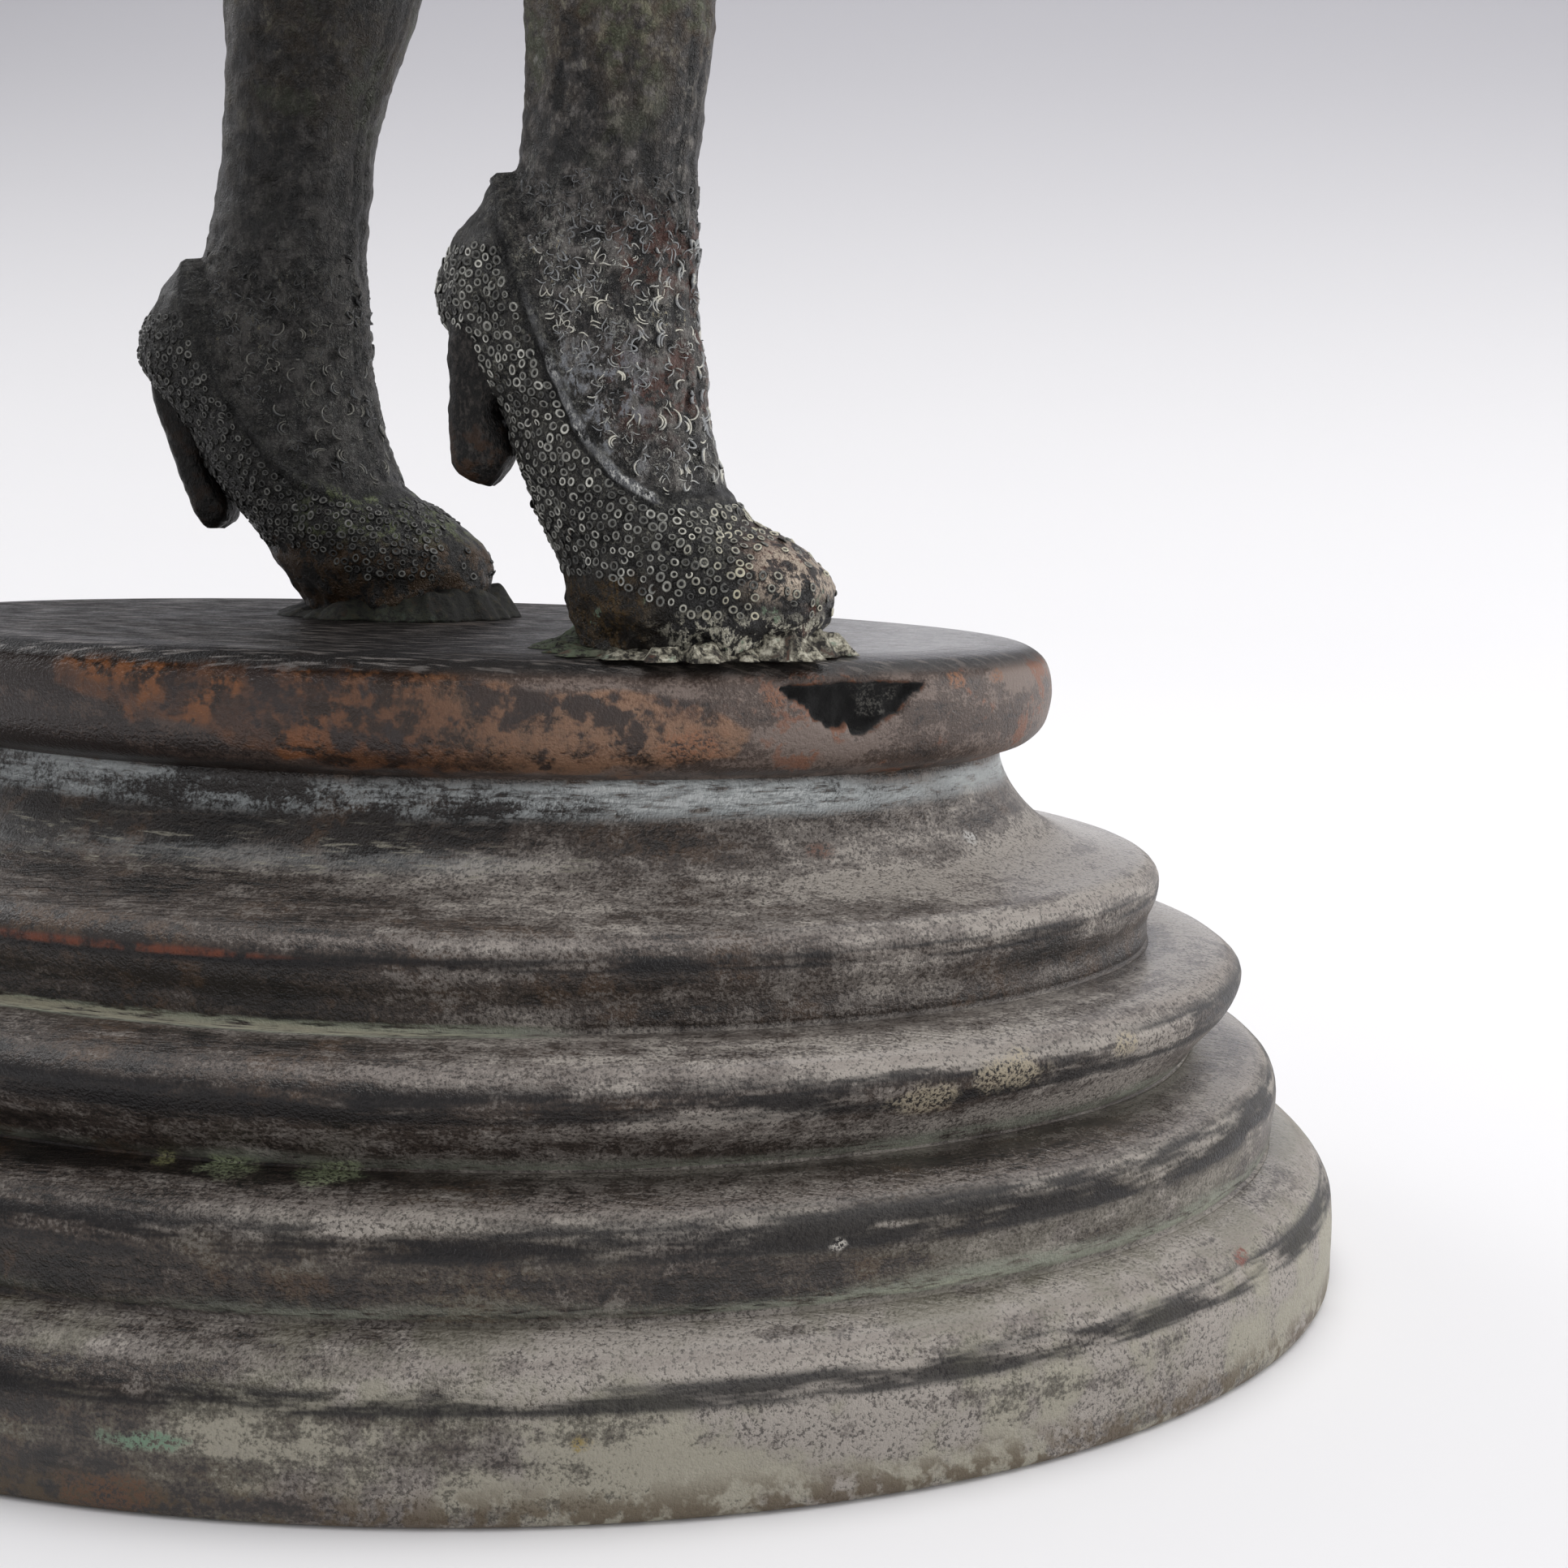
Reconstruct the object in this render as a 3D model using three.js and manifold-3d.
// Art deco dancer statuette: a bronze dancer in court shoes on an oval stepped bronze base.
// Millimetres, +Z up. The origin is the centre of the flat underside of the base.
// +X is the long axis of the oval and the way the dancer steps; the dancer's right side is toward -Y.
import * as THREE from 'three';
import { mergeVertices } from 'three/addons/utils/BufferGeometryUtils.js';
import Module from 'manifold-3d';

const wasm = await Module();
wasm.setup();

// Driving dimensions of the base
const BASE_LENGTH = 180;
const BASE_DEPTH = 131.2;
const BASE_HEIGHT = 60.7;
const BASE_SIDES = 54;

// Gap between the casting of the figure and the slab that it is soldered to
const SEAT_GAP = 0.3;

// Driving dimensions of the figure
const SOLE_Z = BASE_HEIGHT + SEAT_GAP;
const KNEE_Z = 184;
const HIP_Z = 277;
const SHOULDER_Z = 377;
const HEAD_Z = 421;
const NEAR_FOOT_Y = -20;
const FAR_FOOT_Y = 9;

// Turn of the body toward the viewer from the way of the step, in degrees about +Z
const PELVIS_TURN = -20;
const CHEST_TURN = -45;
const HEAD_TURN = -60;

const rad = THREE.MathUtils.degToRad;

// Smooth run through a short table of rows, keyed by the first value of each row, without overshoot
function along(table, s) {
  const last = table.length - 1;
  let i = 0;
  while (i < last - 1 && s > table[i + 1][0]) {
    i += 1;
  }
  const h = table[i + 1][0] - table[i][0];
  const t = Math.min(Math.max((s - table[i][0]) / h, 0), 1);
  const grade = (k, j) => (table[k + 1][j] - table[k][j]) / (table[k + 1][0] - table[k][0]);
  const lean = (k, j) => {
    if (k === 0) {
      return grade(0, j);
    }
    if (k === last) {
      return grade(last - 1, j);
    }
    const a = grade(k - 1, j);
    const b = grade(k, j);
    return a * b <= 0 ? 0 : (2 * a * b) / (a + b);
  };
  return table[i].map((v, j) => {
    if (j === 0) {
      return s;
    }
    const w = table[i + 1][j];
    const t2 = t * t;
    const t3 = t2 * t;
    return (2 * t3 - 3 * t2 + 1) * v + (t3 - 2 * t2 + t) * h * lean(i, j)
      + (3 * t2 - 2 * t3) * w + (t3 - t2) * h * lean(i + 1, j);
  });
}

// Keys of a table with extra steps between them
function levels(table, steps) {
  const out = [];
  for (let i = 0; i < table.length - 1; i += 1) {
    for (let k = 0; k < steps; k += 1) {
      out.push(table[i][0] + (table[i + 1][0] - table[i][0]) * (k / steps));
    }
  }
  out.push(table[table.length - 1][0]);
  return out;
}

// Closed skin over a pile of rings; every ring turns counter-clockwise seen from the last one
function skin(rings) {
  const n = rings[0].length;
  const points = rings.flat();
  const faces = [];
  for (let r = 0; r < rings.length - 1; r += 1) {
    for (let i = 0; i < n; i += 1) {
      const a = r * n + i;
      const b = r * n + ((i + 1) % n);
      faces.push(a, b, b + n, a, b + n, a + n);
    }
  }
  const middle = (ring) => ring.reduce((m, p) => m.add(p), new THREE.Vector3()).divideScalar(n);
  const low = points.length;
  points.push(middle(rings[0]), middle(rings[rings.length - 1]));
  const top = (rings.length - 1) * n;
  for (let i = 0; i < n; i += 1) {
    faces.push(low, (i + 1) % n, i);
    faces.push(low + 1, top + i, top + ((i + 1) % n));
  }
  const geometry = new THREE.BufferGeometry();
  geometry.setAttribute('position', new THREE.Float32BufferAttribute(points.flatMap((p) => p.toArray()), 3));
  geometry.setIndex(faces);
  return geometry;
}

// Body of level rings. A row is height, x and y of the middle, half width, reach to the front,
// reach to the back, and the turn of the front about +Z in degrees. A pleat deepens every ring in folds.
function stack(table, sides, steps, pleat = () => 0) {
  const rings = levels(table, steps).map((level) => {
    const [z, x, y, wide, front, back, turn] = along(table, level);
    const ring = [];
    for (let i = 0; i < sides; i += 1) {
      const a = (i / sides) * Math.PI * 2;
      const grow = 1 + pleat(a, z);
      const u = Math.cos(a) * (Math.cos(a) > 0 ? front : back) * grow;
      const v = Math.sin(a) * wide * grow;
      const c = Math.cos(rad(turn));
      const s = Math.sin(rad(turn));
      ring.push(new THREE.Vector3(x + c * u - s * v, y + s * u + c * v, z));
    }
    return ring;
  });
  return skin(rings);
}

// Body along a bent line. A row is the run, x, y, z of the middle, half width and half thickness;
// the width lies along a side vector that swings from its first value to its last.
function limb(table, sideFirst, sideLast, sides, steps) {
  const at = (s) => along(table, s);
  const first = table[0][0];
  const whole = table[table.length - 1][0] - first;
  const rings = levels(table, steps).map((s) => {
    const [, x, y, z, wide, thick] = at(s);
    const side = sideFirst.clone().lerp(sideLast, (s - first) / whole).normalize();
    const e = whole * 0.01;
    const p = at(Math.max(s - e, table[0][0]));
    const q = at(Math.min(s + e, table[table.length - 1][0]));
    const way = new THREE.Vector3(q[1] - p[1], q[2] - p[2], q[3] - p[3]).normalize();
    const across = side.clone().addScaledVector(way, -side.dot(way)).normalize();
    const over = way.clone().cross(across);
    const ring = [];
    for (let i = 0; i < sides; i += 1) {
      const a = (i / sides) * Math.PI * 2;
      ring.push(new THREE.Vector3(x, y, z)
        .addScaledVector(across, Math.cos(a) * wide)
        .addScaledVector(over, Math.sin(a) * thick));
    }
    return ring;
  });
  return skin(rings);
}

function ball(radius, wide, high, tall, x, y, z) {
  const geometry = new THREE.SphereGeometry(radius, wide, high);
  geometry.rotateX(Math.PI / 2);
  geometry.scale(1, 1, tall);
  geometry.translate(x, y, z);
  return geometry;
}

function solid(geometry) {
  geometry.deleteAttribute('normal');
  geometry.deleteAttribute('uv');
  const welded = mergeVertices(geometry, 1e-4);
  return new wasm.Manifold(new wasm.Mesh({
    numProp: 3,
    vertProperties: Float32Array.from(welded.attributes.position.array),
    triVerts: Uint32Array.from(welded.index.array),
  }));
}

function join(bodies) {
  return bodies.map((b) => (b.isBufferGeometry ? solid(b) : b)).reduce((whole, next) => whole.add(next));
}

function geometryOf(body) {
  const mesh = body.getMesh();
  const geometry = new THREE.BufferGeometry();
  geometry.setAttribute('position', new THREE.Float32BufferAttribute(mesh.vertProperties, 3));
  geometry.setIndex(Array.from(mesh.triVerts));
  geometry.computeVertexNormals();
  return geometry;
}

const bronze = (name, colour) => new THREE.MeshStandardMaterial({
  name,
  color: colour,
  metalness: 0.6,
  roughness: 0.55,
});

// Base: one oval casting. Each pair is a height and the inset of the moulding from the widest outline:
// foot wall, rounded shoulder, two half-round steps, a fillet, a deep hollow and the bullnosed slab.
const MOULDING = [
  [0, 0.7], [0.8, 0], [7.9, 0.2], [10.1, 1.2], [11.7, 3.1], [12.9, 6.7],
  [15.8, 6.4], [18.8, 6.1], [20.8, 7.2], [21.7, 10.0], [22.1, 14.6],
  [24.4, 13.2], [27.0, 11.0], [29.4, 10.2], [31.0, 11.6], [31.9, 15.4], [31.7, 19.6],
  [34.4, 19.6], [36.2, 18.8], [38.3, 18.7], [39.7, 19.9], [40.5, 23.4],
  [42.8, 29.4], [46.5, 33.4], [49.8, 34.6],
  [51.0, 32.2], [53.0, 30.6], [56.4, 30.2], [59.0, 30.8], [60.2, 32.2], [BASE_HEIGHT, 35.0],
];

function ovalFoot() {
  const rings = MOULDING.map(([z, inset]) => {
    const ring = [];
    for (let i = 0; i < BASE_SIDES; i += 1) {
      const a = (i / BASE_SIDES) * Math.PI * 2;
      ring.push(new THREE.Vector3(
        Math.cos(a) * (BASE_LENGTH / 2 - inset),
        Math.sin(a) * (BASE_DEPTH / 2 - inset),
        z,
      ));
    }
    return ring;
  });
  return skin(rings);
}

// Chip broken out of the upper front edge of the slab
const CHIP = { length: 11, height: 5.4, depth: 3.8, x: 41.2, y: -26.3, z: 57.7 };

function chipTool() {
  const geometry = new THREE.SphereGeometry(0.5, 10, 6);
  geometry.scale(CHIP.length, CHIP.depth, CHIP.height);
  geometry.rotateZ(rad(29));
  geometry.translate(CHIP.x, CHIP.y, CHIP.z);
  return geometry;
}

const baseBody = solid(ovalFoot()).subtract(solid(chipTool()));
const base = new THREE.Mesh(geometryOf(baseBody), bronze('bronze_base', 0x3b3836));
base.name = 'base';

// Right leg, near the viewer: the stockinged foot inside the shoe, ankle, calf, knee and thigh
const RIGHT_LEG = [
  [68, 24.0, NEAR_FOOT_Y, 7.6, 7.5, 7.5, -6],
  [75.3, 21.2, NEAR_FOOT_Y, 7.6, 8.6, 8.4, -6],
  [81, 19.4, NEAR_FOOT_Y, 7.1, 8.9, 8.8, -6],
  [86, 17.4, NEAR_FOOT_Y, 6.8, 10.3, 10.4, -6],
  [91.6, 16.4, NEAR_FOOT_Y, 6.6, 10.7, 10.8, -6],
  [98, 17.6, NEAR_FOOT_Y, 6.3, 9.3, 9.0, -6],
  [103.4, 18.8, NEAR_FOOT_Y, 6.4, 8.1, 7.5, -6],
  [116, 19.8, -20, 7.5, 8.4, 8.1, -6],
  [132, 20.6, -19.9, 9.9, 9.2, 11.6, -7],
  [152, 21.6, -19.7, 12.2, 9.8, 15.4, -8],
  [170, 22.6, -19.5, 10.9, 9.9, 12.4, -9],
  [KNEE_Z, 23.2, -19.4, 10.2, 11.2, 10.4, -10],
  [198, 21.2, -19.2, 11.2, 12.0, 11.8, -11],
  [225, 14.8, -19, 14.0, 14.8, 15.2, -13],
  [255, 7.2, -19, 16.2, 16.8, 18.6, -16],
  [284, 0.4, -19, 12.0, 12.0, 14.0, -20],
];

// Left leg, behind: the shin leaning forward, the knee straight
const LEFT_LEG = [
  [68, -13.0, FAR_FOOT_Y, 7.4, 8.0, 8.0, 2],
  [74.1, -16.4, FAR_FOOT_Y, 7.6, 8.6, 8.6, 2],
  [79.3, -19.6, FAR_FOOT_Y, 7.2, 9.8, 9.8, 2],
  [84, -22.0, FAR_FOOT_Y, 6.9, 11.2, 11.4, 2],
  [87.7, -22.7, FAR_FOOT_Y, 6.7, 11.4, 11.6, 2],
  [93, -21.0, FAR_FOOT_Y, 6.4, 9.6, 9.6, 2],
  [98.6, -19.8, FAR_FOOT_Y, 6.5, 8.1, 8.0, 2],
  [108.5, -18.6, FAR_FOOT_Y, 6.9, 8.1, 7.3, 0],
  [122.5, -16.2, 8.9, 8.8, 10.4, 9.1, -2],
  [136, -14.2, 8.7, 11.2, 11.2, 12.2, -4],
  [150, -12.2, 8.5, 12.3, 12.0, 13.8, -6],
  [168, -8.6, 8.2, 11.1, 11.6, 12.4, -8],
  [KNEE_Z, -5.2, 8, 10.2, 11.3, 11.0, -10],
  [198, -3.0, 8, 11.2, 11.2, 13.2, -11],
  [225, 1.4, 8.3, 14.0, 13.0, 17.4, -13],
  [255, 6.8, 8.8, 16.2, 15.6, 20.6, -16],
  [284, 11.4, 9, 12.0, 12.0, 14.0, -20],
];

// Court shoes on tiptoe, and the line of each topline in side view from its peak at the back to the throat
const RIGHT_SHOE = [
  [SOLE_Z, 27.0, NEAR_FOOT_Y, 8.4, 10.8, 10.4, -6],
  [63.6, 27.5, NEAR_FOOT_Y, 9.3, 12.0, 11.6, -6],
  [66.6, 27.4, NEAR_FOOT_Y, 9.5, 12.3, 12.0, -6],
  [69.8, 25.8, NEAR_FOOT_Y, 9.1, 11.4, 11.6, -6],
  [72.4, 23.0, NEAR_FOOT_Y, 8.8, 9.5, 9.9, -6],
  [75.3, 21.0, NEAR_FOOT_Y, 8.2, 8.9, 9.0, -6],
  [81, 19.2, NEAR_FOOT_Y, 7.6, 9.1, 9.2, -6],
  [86, 17.0, NEAR_FOOT_Y, 7.3, 10.7, 10.8, -6],
  [91.6, 15.6, NEAR_FOOT_Y, 7.2, 11.5, 11.9, -6],
  [96.6, 16.4, NEAR_FOOT_Y, 6.9, 10.5, 10.9, -6],
  [99.3, 17.2, NEAR_FOOT_Y, 6.85, 9.75, 9.4, -6],
  [101.4, 18.0, NEAR_FOOT_Y, 6.8, 9.0, 9.3, -6],
];
const RIGHT_TOPLINE = [[10.4, 101.4], [12.7, 93.8], [14.6, 89], [16.1, 85], [18.8, 79.8], [21.9, 76.4], [25.2, 74.4]];

const LEFT_SHOE = [
  [SOLE_Z, -9.0, FAR_FOOT_Y, 8.2, 9.4, 8.6, 2],
  [63.6, -9.2, FAR_FOOT_Y, 9.0, 10.5, 9.8, 2],
  [67.0, -10.3, FAR_FOOT_Y, 9.2, 11.5, 11.2, 2],
  [70.4, -13.4, FAR_FOOT_Y, 8.9, 11.2, 10.7, 2],
  [74.1, -17.2, FAR_FOOT_Y, 8.4, 9.8, 9.9, 2],
  [79.3, -19.9, FAR_FOOT_Y, 7.8, 10.3, 10.3, 2],
  [84, -22.6, FAR_FOOT_Y, 7.4, 12.1, 11.4, 2],
  [87.7, -23.5, FAR_FOOT_Y, 7.3, 12.4, 12.0, 2],
  [92.4, -22.4, FAR_FOOT_Y, 7.0, 11.0, 11.1, 2],
  [96.6, -20.4, FAR_FOOT_Y, 6.9, 9.2, 10.0, 2],
];
const LEFT_TOPLINE = [[-28.6, 96.6], [-26.6, 90], [-23.8, 83.7], [-19.2, 78], [-15.8, 75], [-11, 73.4]];

// Shoe hollowed above its topline, so that its edge stands proud of the stocking
function shoe(table, topline) {
  const body = solid(stack(table, 18, 1));
  const top = topline[0];
  const throat = topline[topline.length - 1];
  const outline = new THREE.Shape([
    ...topline.map(([x, z]) => new THREE.Vector2(x, z)),
    new THREE.Vector2(throat[0] + 9, throat[1] + 1.2),
    new THREE.Vector2(throat[0] + 30, top[1] + 20),
    new THREE.Vector2(top[0], top[1] + 20),
  ]);
  const block = new THREE.ExtrudeGeometry(outline, { depth: 40, bevelEnabled: false });
  block.rotateX(Math.PI / 2);
  block.translate(0, table[0][2] + 20, 0);
  return body.subtract(solid(block));
}

// Block heels. A row is the height, then x of the back and of the front of the heel, half width,
// and the drop of its front edge below its back edge.
function heel(table, footY) {
  const rings = table.map(([z, back, front, wide, drop]) => {
    const ring = [];
    for (let i = 0; i < 12; i += 1) {
      const a = (i / 12) * Math.PI * 2;
      const sq = (v) => Math.sign(v) * Math.abs(v) ** 0.6;
      const u = sq(Math.cos(a));
      ring.push(new THREE.Vector3(
        (back + front) / 2 + (u * (front - back)) / 2,
        footY + sq(Math.sin(a)) * wide,
        z - ((u + 1) / 2) * drop,
      ));
    }
    return ring;
  });
  return skin(rings);
}

const RIGHT_HEEL = [
  [75.6, 6.9, 9.5, 2.2, 0.2],
  [76.7, 5.4, 10.9, 3.0, -0.8],
  [82, 5.2, 9.9, 3.4, 0.4],
  [87.4, 5.3, 11.0, 4.0, 3.4],
  [92, 6.2, 15.0, 4.2, 3.4],
];

const LEFT_HEEL = [
  [69.9, -29.1, -26.9, 2.0, 0],
  [71.8, -30.2, -25.8, 2.7, 0.6],
  [77.6, -32.1, -28.2, 3.2, 1.4],
  [83.6, -33.8, -28.4, 3.8, 3.4],
  [88, -34.0, -24.0, 4.0, 3.4],
];

// Solder left round the toes where the shoes are fixed to the slab
function solder(x, y, length, width, tall) {
  const table = [
    [SOLE_Z, x, y, width / 2, length / 2, length / 2, 0],
    [SOLE_Z + tall / 3, x, y, width / 2 - 0.6, length / 2 - 0.8, length / 2 - 0.5, 0],
    [SOLE_Z + tall, x, y, width / 2 - 2.4, length / 2 - 2.8, length / 2 - 2.4, 0],
  ];
  return stack(table, 18, 1, (a) => 0.05 * Math.sin(3 * a + x) + 0.04 * Math.sin(5 * a));
}

// Trunk in a close-fitting costume, turning toward the viewer from the pelvis to the neck
const TRUNK = [
  [260, 6.2, -5, 20, 13, 15, PELVIS_TURN],
  [268, 6.2, -5, 27, 18, 20.5, PELVIS_TURN],
  [HIP_Z + 4, 6, -5, 30, 19.5, 23.4, PELVIS_TURN],
  [297, 5.6, -5.2, 26.5, 18.2, 19, -25],
  [317, 4.6, -5.6, 20.4, 15, 13.6, -33],
  [334, 3, -6.2, 21.8, 14.6, 14, -40],
  [350, 1.2, -7, 25.6, 15.6, 16.4, CHEST_TURN],
  [364, -0.4, -7.4, 27.6, 14.2, 16.8, CHEST_TURN - 1],
  [SHOULDER_Z, -1.8, -7.8, 27, 11.2, 14.2, CHEST_TURN - 2],
  [384, -2.4, -8, 18, 9, 11, CHEST_TURN - 3],
  [390, -2.6, -8.3, 10, 7.8, 8.6, CHEST_TURN - 4],
  [398, -2.6, -8.8, 8.2, 7.4, 7.8, -52],
  [410, -2.2, -9.6, 8, 7.2, 7.6, -56],
];

// Short fluted skirt, deepest at the hem
const SKIRT = [
  [236, 5.4, -5, 41.5, 35, 36, PELVIS_TURN],
  [239, 5.5, -5, 42, 35.5, 36.5, PELVIS_TURN],
  [256, 5.8, -5, 38, 30, 32, PELVIS_TURN],
  [276, 6, -5, 33, 23, 26.5, PELVIS_TURN],
  [294, 5.7, -5.2, 28.4, 19.6, 21.4, -24],
  [302, 5.4, -5.2, 24, 16.6, 16.6, -26],
];
const FLUTES = 15;
const SKIRT_SIDES = FLUTES * 3;

function flute(a, z) {
  const depth = THREE.MathUtils.clamp((298 - z) / 60, 0, 1) * 0.055;
  return depth * Math.cos(FLUTES * a);
}

const across = (turn, reach, forward) => [
  Math.cos(rad(turn)) * forward + Math.sin(rad(turn)) * reach,
  Math.sin(rad(turn)) * forward - Math.cos(rad(turn)) * reach,
];

// Bust, set on the chest to the right and to the left of its middle line
function bust(reach) {
  const [x, y] = across(CHEST_TURN, reach, 5);
  return ball(12.6, 12, 8, 1.08, 1.2 + x, -7 + y, 351);
}

// Arms: the run in millimetres from inside the shoulder to the knuckles, the hands bent outward
const RIGHT_ARM = [
  [0, -10, -16, 370, 8.0, 9.0],
  [14, -22.5, -29, 374.6, 9.4, 9.8],
  [26, -33, -37, 371, 8.4, 8.4],
  [52, -56, -50.6, 358, 6.9, 6.8],
  [70, -70.4, -58, 347.4, 6.3, 6.0],
  [77, -76, -60, 348.4, 6.2, 6.0],
  [87, -80.6, -59.4, 358.6, 6.8, 6.4],
  [104, -86.4, -57.6, 375.4, 5.7, 5.2],
  [120, -91.6, -56, 390.2, 4.4, 3.5],
  [127, -95.4, -55.6, 396.4, 4.8, 3.4],
  [136, -103, -55.6, 402, 6.2, 2.9],
  [144, -110, -55.8, 405.6, 6.3, 2.4],
];

const LEFT_ARM = [
  [0, 8, 2, 370, 8.0, 9.0],
  [14, 20, 14.6, 377.4, 9.4, 9.8],
  [26, 27, 19.6, 388, 8.6, 8.6],
  [52, 40.6, 27.2, 410.6, 6.9, 6.8],
  [70, 49.6, 32, 426.6, 6.3, 6.0],
  [77, 52, 32.4, 433.4, 6.2, 6.0],
  [87, 51.6, 29.6, 443.4, 6.8, 6.4],
  [104, 48, 24, 460.4, 5.7, 5.2],
  [120, 43.4, 19, 476.4, 4.4, 3.5],
  [127, 39.2, 16.8, 482.4, 4.8, 3.4],
  [136, 31.6, 13.6, 487.6, 6.2, 2.9],
  [144, 24.6, 10.8, 490.6, 6.3, 2.4],
];

// Side of the upper arm and side of the hand
const RIGHT_SIDES = [new THREE.Vector3(-0.36, 0.86, -0.3), new THREE.Vector3(-0.1, 0.95, -0.1).normalize()];
const LEFT_SIDES = [new THREE.Vector3(-0.4, 0.9, 0), new THREE.Vector3(-0.35, 0.9, -0.1).normalize()];

// Fingers and thumb of one hand, from the end of the palm along the hand's way
function fingers(arm, side, curl) {
  const [before, last] = arm.slice(-2).map(([, x, y, z]) => new THREE.Vector3(x, y, z));
  const way = last.clone().sub(before).normalize();
  const bodies = [];
  const reach = [12.5, 15, 15.5, 14];
  for (let i = 0; i < 4; i += 1) {
    const root = last.clone().addScaledVector(side, (i - 1.5) * 3.1).addScaledVector(way, -3);
    const rows = [0, 0.5, 1].map((t) => {
      const p = root.clone()
        .addScaledVector(way, t * (reach[i] + 3))
        .addScaledVector(side, t * (i - 1.5) * 0.7)
        .addScaledVector(curl, t * t * (2.4 - 0.5 * i));
      return [t, p.x, p.y, p.z, 1.75 - 0.55 * t, 1.7 - 0.5 * t];
    });
    bodies.push(limb(rows, side, side, 7, 1));
  }
  const ballOfThumb = last.clone().addScaledVector(way, -13).addScaledVector(side, 3.2);
  const thumb = [0, 0.5, 1].map((t) => {
    const p = ballOfThumb.clone()
      .addScaledVector(way, t * 13)
      .addScaledVector(side, t * 6.5)
      .addScaledVector(curl, t * 2);
    return [t, p.x, p.y, p.z, 2.3 - 0.9 * t, 2.1 - 0.8 * t];
  });
  bodies.push(limb(thumb, side, side, 7, 1));
  return bodies;
}

// Head: an egg with the chin forward, a straight small nose and a close cap with a rolled edge
const HEAD = [
  [-23.4, 0, 0, 3.6, 11.2, 0.4, 0],
  [-21.4, 0, 0, 7.2, 13.6, 3.4, 0],
  [-16.5, 0, 0, 11.2, 15.2, 8.2, 0],
  [-9, 0, 0, 14.2, 15.8, 13.6, 0],
  [-1, 0, 0, 15.6, 16.2, 18, 0],
  [8, 0, 0, 16.2, 16.8, 20, 0],
  [16, 0, 0, 14.6, 14.6, 18.4, 0],
  [21.4, 0, 0, 10, 9.6, 12.6, 0],
  [23.6, 0, 0, 3.4, 3.2, 4.6, 0],
];

const CAP = [
  [-13, 0, 0, 10.6, -3, 15.4, 0],
  [-8, 0, 0, 15.4, 4, 18.2, 0],
  [1, 0, 0, 17.4, 10.5, 20.4, 0],
  [7.2, 0, 0, 18.2, 18.4, 22.2, 0],
  [9.6, 0, 0, 18.4, 19, 22.4, 0],
  [12.2, 0, 0, 17.4, 18, 21.4, 0],
  [18, 0, 0, 14.8, 15, 18, 0],
  [23.4, 0, 0, 9.8, 9.8, 12, 0],
  [25.8, 0, 0, 2.6, 2.6, 3.2, 0],
];

const NOSE = [
  [0, 13.4, 0, 3.4, 1.2, 1.6],
  [0.35, 15.6, 0, 1, 1.4, 1.8],
  [0.8, 18.4, 0, -4.6, 2.2, 2.2],
  [1, 16.4, 0, -7.2, 2.0, 1.4],
];

function headBodies() {
  const nose = limb(NOSE, new THREE.Vector3(0, 1, 0), new THREE.Vector3(0, 1, 0), 8, 1);
  const place = new THREE.Matrix4()
    .makeTranslation(-2, -10.6, HEAD_Z)
    .multiply(new THREE.Matrix4().makeRotationZ(rad(HEAD_TURN)))
    .multiply(new THREE.Matrix4().makeRotationY(rad(-6)));
  return [stack(HEAD, 20, 1), stack(CAP, 22, 1), nose].map((g) => g.applyMatrix4(place));
}

const figureBody = join([
  stack(RIGHT_LEG, 16, 1),
  stack(LEFT_LEG, 16, 1),
  shoe(RIGHT_SHOE, RIGHT_TOPLINE),
  shoe(LEFT_SHOE, LEFT_TOPLINE),
  heel(RIGHT_HEEL, NEAR_FOOT_Y),
  heel(LEFT_HEEL, FAR_FOOT_Y),
  solder(26.3, NEAR_FOOT_Y, 25, 21.5, 1.8),
  solder(-9.2, FAR_FOOT_Y, 24.4, 20.4, 3.2),
  stack(TRUNK, 24, 1),
  stack(SKIRT, SKIRT_SIDES, 1, flute),
  bust(10.2),
  bust(-10.2),
  limb(RIGHT_ARM, ...RIGHT_SIDES, 12, 1),
  limb(LEFT_ARM, ...LEFT_SIDES, 12, 1),
  ...fingers(RIGHT_ARM, RIGHT_SIDES[1], new THREE.Vector3(0.3, 0, 0.95)),
  ...fingers(LEFT_ARM, LEFT_SIDES[1], new THREE.Vector3(0.1, 0, -0.95)),
  ...headBodies(),
]);
const figure = new THREE.Mesh(geometryOf(figureBody), bronze('bronze_figure', 0x45423a));
figure.name = 'figure';

const group = new THREE.Group();
group.name = 'art_deco_dancer_statuette';
group.add(base, figure);

export default group;
